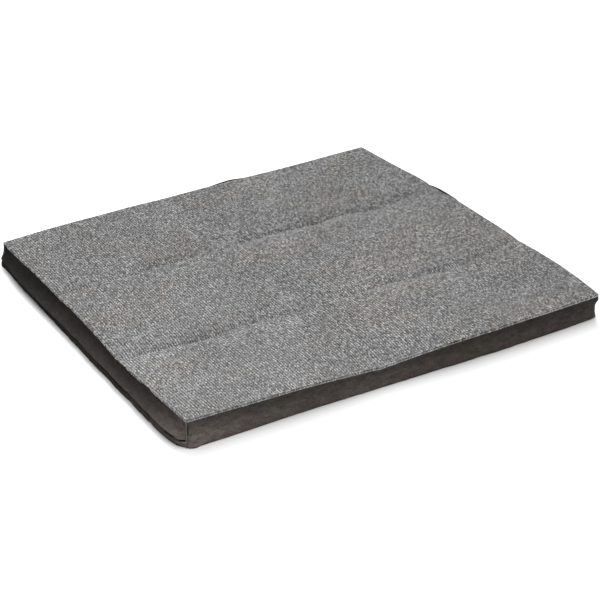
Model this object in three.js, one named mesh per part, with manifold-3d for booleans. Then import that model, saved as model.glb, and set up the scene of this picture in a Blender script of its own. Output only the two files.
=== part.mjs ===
// A passive laptop cooling pad: a boxed fabric cover with a ribbed felt top, closed by a lapped zip in its
// left wall, round a pocketed liner of heat-absorbing packs on a foam core and a stiffener board.
// Millimetres. X runs right along the front edge, Y to the back, Z up. The origin is the centre of the base.
import * as THREE from 'three';
import { mergeVertices } from 'three/addons/utils/BufferGeometryUtils.js';
import Module from 'manifold-3d';

const wasm = await Module();
wasm.setup();

// Driving dimensions
const WIDTH = 420;
const DEPTH = 378;
const HEIGHT = 22.6;
const GAP = 0.3; // between pieces that touch
const BASE_THICK = 0.8;
const TOP_THICK = 2.4;
const TOP_CORNER_R = 2.5;
const BASE_CORNER_R = 6;

// Side walls: thin fabric, pinched in at mid-height
const WALL_THICK = 1.2;
const WALL_INSET = 0.2;
const WALL_PINCH = 2;
const LEFT_WALL_PINCH = 0.8;
const WALL_ARC_STEPS = 6;
const WALL_LOW = BASE_THICK + GAP;
const WALL_HIGH = HEIGHT - TOP_THICK - GAP;

// Sewn corners: a rounded strip, with the seam allowance as a tab inside
const CORNER_R = 4;
const CORNER_ARC_STEPS = 5;
const SEAM_TAB_WIDTH = 1.6;
const SEAM_TAB_END = 1; // from the centre of the corner, on its outer side

// Lapped zip in the left wall. Depths are measured inwards from the wall's outer plane.
const ZIP_Z = 6.2;
const SLOT_HEIGHT = 3.6;
const SLOT_LOW = ZIP_Z - SLOT_HEIGHT / 2;
const SLOT_HIGH = ZIP_Z + SLOT_HEIGHT / 2;
const COIL_DEPTH = [3.1, 4.9];
const COIL_HEIGHT = 1.6;
const COIL_PART = 0.5; // from the zip's centre line to each row of teeth
const TAPE_DEPTH = [3.7, 4.3];
const TAPE_HIGH = 17;
const TAPE_END = 5.5; // from the pad's front and back planes
const STOP_LENGTH = 2;
const STOP_PROUD = 0.2;

// Slider and pull. The slider is parked at the back, where the zip is closed.
const SLIDER_LENGTH = 9;
const SLIDER_HEIGHT = 7.2;
const SLIDER_PLATES = [[2, 2.8], [5.2, 6]];
const SLIDER_FLANGE = 0.6;
const SLIDER_FLANGE_REACH = 0.5;
const SLIDER_Y = 170;
const SLIDER_TRAVEL = 326;
const STOP_ROOM = 1.8; // between the slider at its limit and the end of the teeth
const POST_WIDTH = 0.5;
const POST_LENGTH = 2.5;
const BRIDGE_WIDTH = 1.2;
const BRIDGE_LENGTH = 6.4;
const BRIDGE_FOOT = 0.8;
const BRIDGE_DEPTH = [0.2, 0.8];
const PULL_DEPTH = 1.4; // of the pivot
const PULL_THICK = 0.6;
const PULL_WIDTH = 3;
const PULL_LENGTH = 22;
const PULL_EYE = [4.3, 1.8]; // length and width
const PULL_BAR = 0.6;

// What the cover holds, from the base up
const INSIDE_INSET = 7;
const INSIDE_CORNER_R = 5;
const BOARD_THICK = 2.5;
const FOAM_THICK = 8.2;
const LINER_THICK = 0.4;
const PACK_THICK = 5.5;
const SPREADER_THICK = 0.3;
const DIVIDER_THICK = 0.8;
const CHANNEL = 9; // between neighbouring packs
const PACK_CORNER_R = 8;
const PACK_BEVEL = 1.6;
const ROW_SPLITS = [0.33, 0.7]; // shares of the depth, from the back
const COLUMN_SPLIT = 0.44; // share of the width, from the left

const QUARTER = Math.PI / 2;
const pad = new THREE.Group();

// Colours and finishes
const felt = () => finish(0x868685, 0.95);
const coverCloth = () => finish(0x48423e, 0.85);
const zipNylon = () => finish(0x232120, 0.6);
const zipMetal = () => finish(0x6f7073, 0.35, 1);
const linerCloth = () => finish(0xb9b7b2, 0.9);
const board = () => finish(0x9a7b55, 0.85);
const foam = () => finish(0xd8d4c6, 1);
const packFilm = () => finish(0x9fb9c9, 0.45);
const foil = () => finish(0xc9ccd0, 0.3, 1);

function finish(color, roughness, metalness = 0) {
  return new THREE.MeshStandardMaterial({ color, roughness, metalness });
}

function add(name, geometry, material, parent = pad) {
  const mesh = new THREE.Mesh(geometry, material);
  mesh.name = name;
  parent.add(mesh);
  return mesh;
}

// Geometry helpers
function boxBetween([x0, x1], [y0, y1], [z0, z1]) {
  const box = new THREE.BoxGeometry(x1 - x0, y1 - y0, z1 - z0);
  return box.translate((x0 + x1) / 2, (y0 + y1) / 2, (z0 + z1) / 2);
}

function roundedRectangle(width, depth, radius) {
  const x = width / 2 - radius;
  const y = depth / 2 - radius;
  const shape = new THREE.Shape();
  shape.absarc(x, y, radius, 0, QUARTER);
  shape.absarc(-x, y, radius, QUARTER, 2 * QUARTER);
  shape.absarc(-x, -y, radius, 2 * QUARTER, 3 * QUARTER);
  shape.absarc(x, -y, radius, 3 * QUARTER, 4 * QUARTER);
  return shape;
}

function sheet(width, depth, radius, thick, low) {
  const options = { depth: thick, bevelEnabled: false, curveSegments: 4 };
  return new THREE.ExtrudeGeometry(roundedRectangle(width, depth, radius), options).translate(0, 0, low);
}

function toSolid(geometry) {
  const bare = geometry.clone();
  bare.deleteAttribute('normal');
  bare.deleteAttribute('uv');
  const merged = mergeVertices(bare);
  const vertProperties = merged.attributes.position.array;
  return new wasm.Manifold(new wasm.Mesh({ numProp: 3, vertProperties, triVerts: merged.index.array }));
}

function fuse(geometries) {
  const whole = geometries.map(toSolid).reduce((joined, next) => joined.add(next));
  const { vertProperties, triVerts } = whole.getMesh();
  const geometry = new THREE.BufferGeometry();
  geometry.setAttribute('position', new THREE.BufferAttribute(new Float32Array(vertProperties), 3));
  geometry.setIndex(new THREE.BufferAttribute(new Uint32Array(triVerts), 1));
  return geometry;
}

// A wall's cross-section: depth inwards along x, height along y, pinched in by an arc of a parabola
function wallSection(low, high, pinch) {
  const outer = [];
  for (let i = 0; i <= WALL_ARC_STEPS; i += 1) {
    const t = i / WALL_ARC_STEPS;
    outer.push([WALL_INSET + pinch * 4 * t * (1 - t), low + (high - low) * t]);
  }
  const inner = outer.map(([depth, z]) => [depth + WALL_THICK, z]).reverse();
  return new THREE.Shape([...inner, ...outer].map(([depth, z]) => new THREE.Vector2(depth, z)));
}

// A wall stands on one side of the pad: turn 0 is the left side, and each quarter turn is the next one round
function addWall(name, turn, reach, length, section, material) {
  const side = new THREE.Group();
  side.rotation.z = turn * QUARTER;
  pad.add(side);
  const geometry = new THREE.ExtrudeGeometry(section, { depth: length, bevelEnabled: false });
  const wall = add(name, geometry, material, side);
  wall.rotation.x = QUARTER;
  wall.position.set(-reach, length / 2, 0);
}

function addPanels() {
  add('base_panel', sheet(WIDTH, DEPTH, BASE_CORNER_R, BASE_THICK, 0), coverCloth());
  add('top_panel', sheet(WIDTH, DEPTH, TOP_CORNER_R, TOP_THICK, HEIGHT - TOP_THICK), felt());
}

function addWalls() {
  const cut = 2 * (CORNER_R + GAP);
  const full = wallSection(WALL_LOW, WALL_HIGH, WALL_PINCH);
  addWall('front_border', 1, DEPTH / 2, WIDTH - cut, full, coverCloth());
  addWall('right_border', 2, WIDTH / 2, DEPTH - cut, full, coverCloth());
  addWall('back_border', 3, DEPTH / 2, WIDTH - cut, full, coverCloth());
  const upper = wallSection(SLOT_HIGH, WALL_HIGH, LEFT_WALL_PINCH);
  const lower = wallSection(WALL_LOW, SLOT_LOW, 0);
  addWall('left_border_upper', 0, WIDTH / 2, DEPTH - cut, upper, coverCloth());
  addWall('left_border_lower', 0, WIDTH / 2, DEPTH - cut, lower, coverCloth());
}

// Plan of a sewn corner, for the corner at the origin with the pad in +X and +Y
function cornerShape() {
  const inner = CORNER_R - WALL_THICK;
  const half = Math.asin(SEAM_TAB_WIDTH / 2 / inner);
  const middle = 2.5 * QUARTER;
  const points = [];
  const arc = (radius, from, to) => {
    for (let i = 0; i <= CORNER_ARC_STEPS; i += 1) {
      const a = from + ((to - from) * i) / CORNER_ARC_STEPS;
      points.push(new THREE.Vector2(CORNER_R + radius * Math.cos(a), CORNER_R + radius * Math.sin(a)));
    }
  };
  arc(CORNER_R, 2 * QUARTER, 3 * QUARTER);
  arc(inner, 3 * QUARTER, middle + half);
  const along = SEAM_TAB_END * Math.SQRT1_2;
  const across = (SEAM_TAB_WIDTH / 2) * Math.SQRT1_2;
  points.push(new THREE.Vector2(CORNER_R - along + across, CORNER_R - along - across));
  points.push(new THREE.Vector2(CORNER_R - along - across, CORNER_R - along + across));
  arc(inner, middle - half, 2 * QUARTER);
  return new THREE.Shape(points);
}

function addCornerSeams() {
  const corners = [
    ['front_left', -1, -1],
    ['front_right', 1, -1],
    ['back_right', 1, 1],
    ['back_left', -1, 1],
  ];
  const options = { depth: WALL_HIGH - WALL_LOW, bevelEnabled: false };
  corners.forEach(([place, x, y], turn) => {
    const seam = add(`corner_seam_${place}`, new THREE.ExtrudeGeometry(cornerShape(), options), coverCloth());
    seam.rotation.z = turn * QUARTER;
    seam.position.set((x * WIDTH) / 2, (y * DEPTH) / 2, WALL_LOW);
  });
}

// The zip, in its own frame: x is depth inwards from the left wall's plane, y runs to the back
const zip = new THREE.Group();
zip.position.x = -WIDTH / 2;

function addZipRows() {
  const back = SLIDER_Y + SLIDER_LENGTH / 2 + STOP_ROOM;
  const front = SLIDER_Y - SLIDER_TRAVEL - SLIDER_LENGTH / 2 - STOP_ROOM;
  const tapeY = [-DEPTH / 2 + TAPE_END, DEPTH / 2 - TAPE_END];
  const upper = [ZIP_Z + COIL_PART, ZIP_Z + COIL_PART + COIL_HEIGHT];
  const lower = [ZIP_Z - COIL_PART - COIL_HEIGHT, ZIP_Z - COIL_PART];
  add('zip_coil_upper', boxBetween(COIL_DEPTH, [front, back], upper), zipNylon(), zip);
  add('zip_coil_lower', boxBetween(COIL_DEPTH, [front, back], lower), zipNylon(), zip);
  add('zip_tape_upper', boxBetween(TAPE_DEPTH, tapeY, [upper[1] + GAP, TAPE_HIGH]), zipNylon(), zip);
  add('zip_tape_lower', boxBetween(TAPE_DEPTH, tapeY, [WALL_LOW, lower[0] - GAP]), zipNylon(), zip);
  const stopDepth = [COIL_DEPTH[0] - STOP_PROUD, COIL_DEPTH[1] + STOP_PROUD];
  const stopZ = [lower[0] - STOP_PROUD, upper[1] + STOP_PROUD];
  const stopBack = [back + GAP, back + GAP + STOP_LENGTH];
  const stopFront = [front - GAP - STOP_LENGTH, front - GAP];
  add('zip_stop_back', boxBetween(stopDepth, stopBack, stopZ), zipMetal(), zip);
  add('zip_stop_front', boxBetween(stopDepth, stopFront, stopZ), zipMetal(), zip);
}

// Two plates with a flange along each edge, a post that parts the teeth, and a bridge that holds the pull
function addSlider() {
  const y = [SLIDER_Y - SLIDER_LENGTH / 2, SLIDER_Y + SLIDER_LENGTH / 2];
  const low = ZIP_Z - SLIDER_HEIGHT / 2;
  const high = ZIP_Z + SLIDER_HEIGHT / 2;
  const [outer, inner] = SLIDER_PLATES;
  const parts = [boxBetween(outer, y, [low, high]), boxBetween(inner, y, [low, high])];
  for (const edge of [[low, low + SLIDER_FLANGE], [high - SLIDER_FLANGE, high]]) {
    parts.push(boxBetween([outer[0], outer[1] + SLIDER_FLANGE_REACH], y, edge));
    parts.push(boxBetween([inner[0] - SLIDER_FLANGE_REACH, inner[1]], y, edge));
  }
  const postZ = [ZIP_Z - POST_WIDTH / 2, ZIP_Z + POST_WIDTH / 2];
  parts.push(boxBetween([outer[0], inner[1]], [y[1] - POST_LENGTH, y[1]], postZ));
  const bridgeZ = [ZIP_Z - BRIDGE_WIDTH / 2, ZIP_Z + BRIDGE_WIDTH / 2];
  const bridgeY = [SLIDER_Y - BRIDGE_LENGTH / 2, SLIDER_Y + BRIDGE_LENGTH / 2];
  parts.push(boxBetween(BRIDGE_DEPTH, bridgeY, bridgeZ));
  for (const foot of [[bridgeY[0], bridgeY[0] + BRIDGE_FOOT], [bridgeY[1] - BRIDGE_FOOT, bridgeY[1]]]) {
    parts.push(boxBetween([BRIDGE_DEPTH[0], outer[1]], foot, bridgeZ));
  }
  add('zip_slider', fuse(parts), zipMetal(), zip);
}

// A flat tab with a round end, and an eye whose cross-bar turns under the bridge
function addPull() {
  const half = PULL_WIDTH / 2;
  const outline = new THREE.Shape();
  outline.moveTo(PULL_BAR / 2, half);
  outline.lineTo(PULL_BAR / 2, -half);
  outline.lineTo(half - PULL_LENGTH, -half);
  outline.absarc(half - PULL_LENGTH, 0, half, -QUARTER, -3 * QUARTER, true);
  outline.closePath();
  const [eyeLength, eyeWidth] = PULL_EYE;
  const eyeEnd = -PULL_BAR / 2;
  const corners = [
    [eyeEnd, -eyeWidth / 2],
    [eyeEnd, eyeWidth / 2],
    [eyeEnd - eyeLength, eyeWidth / 2],
    [eyeEnd - eyeLength, -eyeWidth / 2],
  ];
  outline.holes.push(new THREE.Path(corners.map(([x, y]) => new THREE.Vector2(x, y))));
  const options = { depth: PULL_THICK, bevelEnabled: false, curveSegments: 6 };
  const tab = new THREE.ExtrudeGeometry(outline, options).translate(0, 0, -PULL_THICK / 2);
  // The tab's length turns to Y, its width to Z and its thickness to X
  tab.rotateX(QUARTER).rotateZ(QUARTER);
  add('zip_pull', tab, zipMetal(), zip).position.set(PULL_DEPTH, SLIDER_Y, ZIP_Z);
}

// The filling: layers stacked from the base panel up, each GAP above the last
function addFilling() {
  const width = WIDTH - 2 * INSIDE_INSET;
  const depth = DEPTH - 2 * INSIDE_INSET;
  const layer = (name, thick, low, material) => {
    add(name, sheet(width, depth, INSIDE_CORNER_R, thick, low), material);
    return low + thick + GAP;
  };
  let z = BASE_THICK + GAP;
  z = layer('stiffener_board', BOARD_THICK, z, board());
  z = layer('foam_core', FOAM_THICK, z, foam());
  z = layer('pocket_liner_bottom', LINER_THICK, z, linerCloth());
  addPockets(z);
  z += PACK_THICK + GAP;
  z = layer('pocket_liner_top', LINER_THICK, z, linerCloth());
  layer('heat_spreader', SPREADER_THICK, z, foil());
}

// Packs in three rows of two, with a pocket wall in the middle of each channel between them
function addPockets(low) {
  const back = DEPTH / 2 - INSIDE_INSET;
  const right = WIDTH / 2 - INSIDE_INSET;
  const rowEdges = [back, ...ROW_SPLITS.map((share) => DEPTH / 2 - share * DEPTH), -back];
  const columnX = COLUMN_SPLIT * WIDTH - WIDTH / 2;
  const columnEdges = [-right, columnX, right];
  const z = [low, low + PACK_THICK];
  const around = (middle) => [middle - DIVIDER_THICK / 2, middle + DIVIDER_THICK / 2];
  add('row_divider_back', boxBetween([-right, right], around(rowEdges[1]), z), linerCloth());
  add('row_divider_front', boxBetween([-right, right], around(rowEdges[2]), z), linerCloth());
  ['back', 'middle', 'front'].forEach((row, i) => {
    const clear = DIVIDER_THICK / 2 + GAP;
    const far = rowEdges[i] - (i > 0 ? clear : 0);
    const near = rowEdges[i + 1] + (i < 2 ? clear : 0);
    add(`column_divider_${row}`, boxBetween(around(columnX), [near, far], z), linerCloth());
    ['left', 'right'].forEach((column, j) => {
      const x = [columnEdges[j] + CHANNEL / 2, columnEdges[j + 1] - CHANNEL / 2];
      const y = [rowEdges[i + 1] + CHANNEL / 2, rowEdges[i] - CHANNEL / 2];
      const pack = add(`cooling_pack_${row}_${column}`, packGeometry(x[1] - x[0], y[1] - y[0]), packFilm());
      pack.position.set((x[0] + x[1]) / 2, (y[0] + y[1]) / 2, low + PACK_BEVEL);
    });
  });
}

function packGeometry(width, depth) {
  const shape = roundedRectangle(width - 2 * PACK_BEVEL, depth - 2 * PACK_BEVEL, PACK_CORNER_R);
  return new THREE.ExtrudeGeometry(shape, {
    depth: PACK_THICK - 2 * PACK_BEVEL,
    bevelThickness: PACK_BEVEL,
    bevelSize: PACK_BEVEL,
    bevelSegments: 2,
    curveSegments: 3,
  });
}

addPanels();
addWalls();
addCornerSeams();
pad.add(zip);
addZipRows();
addSlider();
addPull();
addFilling();

export default pad;
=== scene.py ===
import math

import bpy
import numpy as np
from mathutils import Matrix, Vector


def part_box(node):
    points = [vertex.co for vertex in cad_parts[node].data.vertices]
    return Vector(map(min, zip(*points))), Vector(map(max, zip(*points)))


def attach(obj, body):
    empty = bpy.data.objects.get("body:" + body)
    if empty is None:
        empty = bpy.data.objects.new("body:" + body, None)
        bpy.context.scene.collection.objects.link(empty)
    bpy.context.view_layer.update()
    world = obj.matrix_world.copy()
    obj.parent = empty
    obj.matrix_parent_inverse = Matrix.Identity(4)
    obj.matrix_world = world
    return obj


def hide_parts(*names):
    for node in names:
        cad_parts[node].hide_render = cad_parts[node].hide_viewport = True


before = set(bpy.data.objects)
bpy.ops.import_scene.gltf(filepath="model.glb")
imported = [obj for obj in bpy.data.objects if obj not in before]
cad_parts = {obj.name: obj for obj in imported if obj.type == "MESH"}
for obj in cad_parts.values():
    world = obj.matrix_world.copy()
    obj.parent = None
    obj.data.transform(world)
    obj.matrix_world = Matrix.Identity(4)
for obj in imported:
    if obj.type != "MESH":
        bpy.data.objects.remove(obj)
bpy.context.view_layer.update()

MM = 0.001


def node_box(name):
    """A CAD node's lowest and highest corner, in millimetres."""
    low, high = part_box(name)
    return np.array(low) / MM, np.array(high) / MM


TOP_LOW, TOP_HIGH = node_box("top_panel")
BASE_THICK = node_box("base_panel")[1][2]
HALF_X, HALF_Y, HEIGHT = TOP_HIGH
WIDTH, DEPTH = 2 * HALF_X, 2 * HALF_Y
SLOT_LOW = node_box("left_border_lower")[1][2]
SLOT_HIGH = node_box("left_border_upper")[0][2]

# The soft outline: how far each side stands out of the CAD box's side, in mm, at shares of its length.
# Left and right are read from the back to the front, front and back from left to right.
TOP_SIDES = {
    "left": [
        (0, -2.3), (0.17, -2.5), (0.3, -3.6), (0.45, -2.9),
        (0.63, -1.1), (0.78, -0.1), (0.9, -1.4), (1, -2.8),
    ],
    "right": [(0, -7), (0.15, -1.8), (0.31, 4.4), (0.45, 4.8), (0.7, 5.6), (0.9, 5.4), (1, 1.5)],
    "front": [(0, -7), (0.27, -4), (0.42, -3), (0.75, 0), (0.9, -0.8), (1, -1.7)],
    "back": [(0, -3.4), (0.15, 0.4), (0.5, 4.2), (0.8, 3.4), (1, 5)],
}
BASE_SIDES = {
    "left": [(0, 2.4), (0.17, 4.4), (0.4, 6), (0.6, 7.4), (0.75, 7.3), (0.85, 7.5), (0.93, 7.6), (1, 3.0)],
    "right": [(0, -4), (0.31, 2), (0.7, 4), (0.9, 4), (1, 0)],
    "front": [(0, 0.6), (0.06, 0.8), (0.27, 0.2), (0.42, 1.3), (0.62, 2.7), (0.75, 3.1), (0.9, 2.6), (1, 1)],
    "back": [(0, -2), (0.5, 2), (1, 3)],
}
# The lap over the zip: how far its lip stands out past the strip below, at shares of the left side
LAP_OUT = [(0, 1.5), (0.04, 2.6), (0.5, 2.8), (0.9, 2.8), (0.96, 3.2), (1, 3.2)]
# Painted light and shade on the walls' cloth: how light it is painted along each side, read as above, and up
# the wall's height
WALL_PAINTED_LIGHT = {
    "left": [(0, 0.15), (0.3, 0.24), (0.6, 0.4), (0.8, 0.55), (0.93, 1.0), (1, 1.8)],
    "right": [(0, 0.8), (1, 0.8)],
    "front": [(0, 2.2), (0.06, 1.9), (0.15, 1.5), (0.4, 1.35), (0.55, 1.1), (1, 1.0)],
    "back": [(0, 0.8), (1, 0.8)],
}
WALL_PAINTED_LIGHT_UP = [(0, 1.8), (0.25, 1.8), (0.5, 1.35), (0.85, 0.85), (1, 0.8)]
# The felt is painted paler near the front left corner, painted light, by the share CORNER_PAINTED_LIGHT,
# within about CORNER_PAINTED_LIGHT_REACH mm.
# Its fibres stand out more, by the share FLECKIER, past FLECK_REACH mm. Its front and left cut edges, whose
# side faces lie in shade, are painted paler as well.
CORNER_PAINTED_LIGHT = 0.46
CORNER_PAINTED_LIGHT_REACH = 220
FLECKIER = 0.5
FLECK_REACH = 250
CUT_EDGE_PAINTED_LIGHT = 2.4
# The corners' radii in plan, in mm, at the felt and at the base
TOP_CORNER_R = 2.2
BASE_CORNER_R = {"front_left": 12, "front_right": 6, "back_right": 6, "back_left": 6}

# Creases of the felt, along the channels between the packs: where each runs, as pairs of the share along it
# and the share across, and how deep it is, as pairs of the share along it and a share of CREASE_DEPTH
LONG_CREASES = [
    {
        "at": [
            (0, 0.33), (0.3, 0.331), (0.42, 0.328), (0.47, 0.32),
            (0.58, 0.32), (0.7, 0.325), (0.88, 0.325), (1, 0.29),
        ],
        "deep": [(0, 0.3), (0.1, 0.55), (0.3, 0.65), (0.4, 0.5), (0.46, 1.0), (0.9, 1.1), (1, 0.9)],
    },
    {
        "at": [(0, 0.683), (0.1, 0.69), (0.22, 0.698), (0.35, 0.7), (0.6, 0.697), (0.8, 0.703), (1, 0.67)],
        "deep": [
            (0, 0.5), (0.06, 1.0), (0.36, 1.0), (0.44, 0.4),
            (0.53, 0.4), (0.6, 0.95), (0.85, 0.9), (1, 0.4),
        ],
    },
]
CROSS_CREASES = [
    {
        "at": [
            (0, 0.43), (0.16, 0.426), (0.31, 0.408), (0.36, 0.393),
            (0.58, 0.418), (0.68, 0.456), (0.73, 0.455), (1, 0.44),
        ],
        "deep": [
            (0, 0.1), (0.16, 0.2), (0.22, 0.6), (0.4, 0.6),
            (0.55, 0.8), (0.7, 0.7), (0.85, 0.7), (1, 0.9),
        ],
    },
    {
        "at": [(0, 0.82), (1, 0.82)],
        "deep": [(0, 0), (0.7, 0), (0.78, 0.3), (0.88, 0.3), (0.95, 0), (1, 0)],
    },
]
WRINKLES = [  # short ridges near the right end of the back crease: from, to (shares), height in mm
    ((0.80, 0.20), (0.86, 0.255), 1.0),
    ((0.85, 0.25), (0.93, 0.275), 1.0),
    ((0.84, 0.275), (0.95, 0.30), 1.0),
    ((0.60, 0.27), (0.66, 0.31), 0.4),
]
# A crease's depth in mm, over how many mm it falls (behind, or on the left) and rises again (ahead), the
# cross creases' share of that depth, and the half width of a ridge
CREASE_DEPTH = 2.6
CREASE_BEHIND = 6.5
CREASE_AHEAD = 2.6
CROSS_BEHIND = 6.4
CROSS_AHEAD = 3.2
CROSS_SHARE = 0.7
WRINKLE_WIDTH = 2.0
# Where the top edge dips: side, place along it, half width of the dip as a share, depth in mm
DIPS = [
    ("front", 0.44, 0.13, 3.0),
    ("left", 0.68, 0.06, 1.8),
    ("left", 0.33, 0.05, 0.8),
    ("right", 0.345, 0.035, 1.4),
    ("right", 0.68, 0.05, 0.8),
    ("back", 0.43, 0.08, 0.6),
]
DIP_REACH = 24

# Where the wall's cloth stands above the felt: side, place, half width as a share, height in mm
PROUD = [("right", 0.345, 0.05, 1.8), ("back", 0.6, 0.04, 1.2)]
PROUD_OUT = 1.0

# The felt, in mm: its ribs, which fade out at its edge, the columns of points in each rib, and the rows'
# spacing, which is closer at the edges and in the bands that the long creases run in
RIB_PITCH = 2.45
RIB_HEIGHT = 0.45
RIB_FADE = 1.6
RIB_COLUMNS = 4
ROW_STEP = 4.2
CREASE_STEP = 1.4
CREASE_BANDS = [(112, 142), (250, 276)]
EDGE_ROWS = [0, 0.2, 0.5, 0.9, 1.6]
# How far the felt lies below the CAD top, its edge's roll, and how far below the felt the walls end
FELT_DROP = 0.2
ROLL_R = 0.35
WALL_UNDER = 0.4
FELT_THICK = TOP_HIGH[2] - TOP_LOW[2]
# The walls, in mm: how far their middle draws in, and the front right corner's swell
CLOTH_THICK = 0.7
PINCH = 2.2
PINCH_LEFT = 1.0
WALL_STEP = 2.0
CORNER_SWELL = 1.2
# The lap over the zip and the strip below it: the droop of the front end, the hem's height, how far the
# edges turn in, and the swell of the lap's middle
LAP_DROOP = 2.7
LAP_TURNED = 0.6
LAP_BELLY = 0.7
STRIP_TURNED = 0.5
# The corner seams stand out of the corner, and are thicker at each stitch
SEAM_OUT = 0.28
SEAM_R = 0.5
STITCH_PITCH = 2.2
# The base: points along each side, from which share of the way out its rings follow the outline, its lift
BASE_RING = 160
BASE_RIM = 0.9
BASE_LIFT = 0.25
# The zip: the tapes' upright part, the teeth, the slider's two plates (how deep they lie in from the CAD
# box's left side), its bridge and the pull's eye
TAPE_STRAIGHT = 1.9
TAPE_THICK = CLOTH_THICK * 0.8
TAPE_GAP = 0.9
COIL_PITCH = 1.2
COIL_WIRE = 0.34
SLIDER_OUTER = (2.0, 2.8)
SLIDER_INNER = (5.2, 6.0)
SLIDER_FLANGE = 0.5
BRIDGE_HIGH = 1.7
BRIDGE_HALF = 2.4
PIVOT_AHEAD = 4.5
EYE_HALF = 0.9
EYE_LONG = 4.3
EYE_RIM = 0.6
# The filling: the packs' sealed margin and shoulder, and the board's top, which holds the bottom in place
PACK_SEAL = 5.0
PACK_SHOULDER = 14.0
PACK_FILM = 0.25
STIFF_HIGH = 3.8
STIFF_SHIFT = 2
# The camera, in degrees, with its distance and its aim in pad widths, and the studio
CAMERA_AZIMUTH = -31.17
CAMERA_ELEVATION = 28.95
CAMERA_DISTANCE = 3.991
CAMERA_AIM = (-0.035, -0.096)
CAMERA_LENS = 110.76
FLOOR_HALF = 18.0
FLOOR_GREY = 0.74
WORLD_STRENGTH = 0.06


# -------- numbers
def along(stops, t):
    """A smooth curve through the stops, pairs of place and value, read at t."""
    x, y = np.array(stops, float).T
    slope = np.gradient(y, x)
    t = np.asarray(t, float)
    i = np.clip(np.searchsorted(x, t, side="right") - 1, 0, len(x) - 2)
    h = x[i + 1] - x[i]
    s = np.clip((t - x[i]) / h, 0, 1)
    ends = (1 + 2 * s) * (1 - s) ** 2 * y[i] + s * s * (3 - 2 * s) * y[i + 1]
    return ends + s * (1 - s) ** 2 * h * slope[i] + s * s * (s - 1) * h * slope[i + 1]


def noise(x, y, size, seed):
    """Smooth random values from -1 to 1 that change over about size."""
    table = np.random.default_rng(seed).uniform(-1, 1, (64, 64))
    fx, fy = np.asarray(x, float) / size, np.asarray(y, float) / size
    ix, iy = np.floor(fx).astype(int), np.floor(fy).astype(int)
    tx, ty = fx - ix, fy - iy
    tx, ty = eased(tx), eased(ty)
    a, b = table[ix % 64, iy % 64], table[(ix + 1) % 64, iy % 64]
    c, d = table[ix % 64, (iy + 1) % 64], table[(ix + 1) % 64, (iy + 1) % 64]
    return (a * (1 - tx) + b * tx) * (1 - ty) + (c * (1 - tx) + d * tx) * ty


def eased(t):
    """From 0 to 1, slow at both ends."""
    return t * t * (3 - 2 * t)


def squared(value, power):
    """A sine or cosine made fuller by a power below 1, which turns an oval towards a rectangle."""
    return np.sign(value) * np.abs(value) ** power


def bell(distance, width):
    """A smooth bump: 1 at distance 0, and 0.37 at width."""
    return np.exp(-((distance / width) ** 2))


# -------- the soft outline
def shift(sides, u, v):
    """How far the soft plan stands off the CAD rectangle at shares u from the left and v from the back."""
    x = u * along(sides["right"], v) - (1 - u) * along(sides["left"], v)
    y = (1 - v) * along(sides["back"], u) - v * along(sides["front"], u)
    return x, y


def rounded(u, v, radius):
    """The CAD rectangle's plan with rounded corners. radius is one number or a dict of the four corners."""
    x, y = (2 * u - 1) * HALF_X, (1 - 2 * v) * HALF_Y
    if isinstance(radius, dict):
        name = np.where(y > 0, np.where(x > 0, 0, 1), np.where(x > 0, 2, 3))
        order = ("back_right", "back_left", "front_right", "front_left")
        radius = np.array([radius[k] for k in order])[name]
    in_x = np.clip((np.abs(x) - (HALF_X - radius)) / radius, 0, 1)
    in_y = np.clip((np.abs(y) - (HALF_Y - radius)) / radius, 0, 1)
    cut_x = radius * in_x * (1 - np.sqrt(1 - in_y**2 / 2))
    cut_y = radius * in_y * (1 - np.sqrt(1 - in_x**2 / 2))
    return x - np.sign(x) * cut_x, y - np.sign(y) * cut_y


def top_plan(u, v):
    """The soft outline at the felt, at shares u and v."""
    x, y = rounded(u, v, TOP_CORNER_R)
    dx, dy = shift(TOP_SIDES, u, v)
    return x + dx, y + dy


def base_plan(u, v):
    """The soft outline at the base, at shares u and v."""
    x, y = rounded(u, v, BASE_CORNER_R)
    dx, dy = shift(BASE_SIDES, u, v)
    return x + dx, y + dy


def to_side(u, v):
    """Distance in mm from each side, and the share along that side."""
    return {
        "left": (u * WIDTH, v),
        "right": ((1 - u) * WIDTH, v),
        "front": ((1 - v) * DEPTH, u),
        "back": (v * DEPTH, u),
    }


# -------- the felt's height
def valley(s, behind, ahead):
    """A crease's section, 1 at its bottom: s is the distance past it, negative behind."""
    fall = np.exp(np.minimum(s, 0) / behind)
    rise = 0.45 * np.exp(-np.abs(s) / ahead) + 0.55 * bell(s, 8 * ahead)
    return np.where(s < 0, fall, rise)


def creases(u, v):
    """The depth of all the creases at shares u and v."""
    deep = np.zeros(np.broadcast(u, v).shape)
    wobble = noise(u * WIDTH, v * DEPTH, 22, 5) * 0.8 + noise(u * WIDTH, v * DEPTH, 9, 6) * 0.3
    for c in LONG_CREASES:
        s = (v - along(c["at"], u)) * DEPTH + wobble
        deep = np.maximum(deep, along(c["deep"], u) * valley(s, CREASE_BEHIND, CREASE_AHEAD))
    for c in CROSS_CREASES:
        s = (u - along(c["at"], v)) * WIDTH + wobble
        deep = np.maximum(deep, along(c["deep"], v) * CROSS_SHARE * valley(s, CROSS_BEHIND, CROSS_AHEAD))
    return CREASE_DEPTH * deep


def wrinkles(u, v):
    """The height of the short ridges at shares u and v."""
    x, y = u * WIDTH, v * DEPTH
    high = np.zeros(np.broadcast(u, v).shape)
    for (u0, v0), (u1, v1), height in WRINKLES:
        x0, y0, dx, dy = u0 * WIDTH, v0 * DEPTH, (u1 - u0) * WIDTH, (v1 - v0) * DEPTH
        t = np.clip(((x - x0) * dx + (y - y0) * dy) / (dx * dx + dy * dy), 0, 1)
        away = np.hypot(x - x0 - t * dx, y - y0 - t * dy)
        high += height * np.sin(np.pi * (0.1 + 0.8 * t)) * bell(away, WRINKLE_WIDTH)
    return high


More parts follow.
